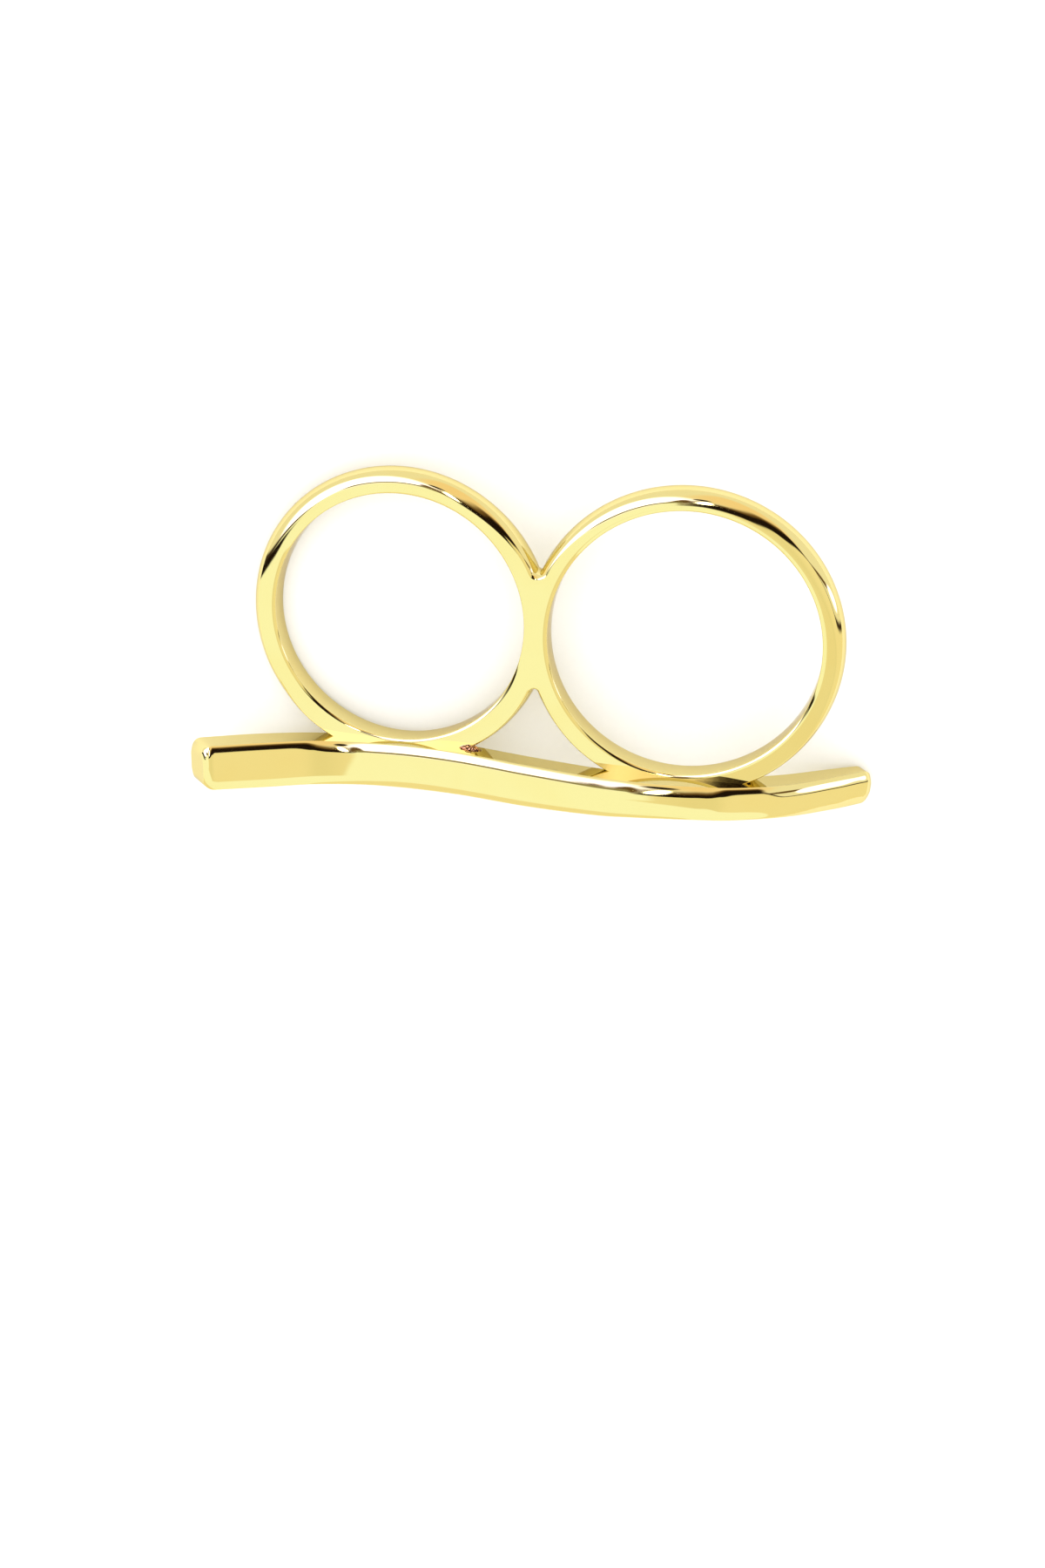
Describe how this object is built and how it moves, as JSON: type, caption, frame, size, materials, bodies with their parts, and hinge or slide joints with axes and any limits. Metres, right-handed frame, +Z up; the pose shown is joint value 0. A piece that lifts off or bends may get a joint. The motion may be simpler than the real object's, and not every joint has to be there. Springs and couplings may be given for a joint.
{
  "type": "bar ring",
  "caption": "Two-finger ring: two round hoops soldered side by side, with a long wavy square bar soldered across both of them.",
  "frame": {"origin": "middle of the ring's footprint, on the surface that it lies on", "axes": "+X along the bar toward its narrow tip and the larger hole, +Y from the bar to the far side of the hoops, +Z up from the surface, about 5 degrees off the axis of both finger holes"},
  "size_m": [0.047, 0.023, 0.0061],
  "materials": {
    "gold": "mirror polished, gold plated"
  },
  "bodies": {
    "root": {"bar_ring": "gold"}
  },
  "joints": []
}
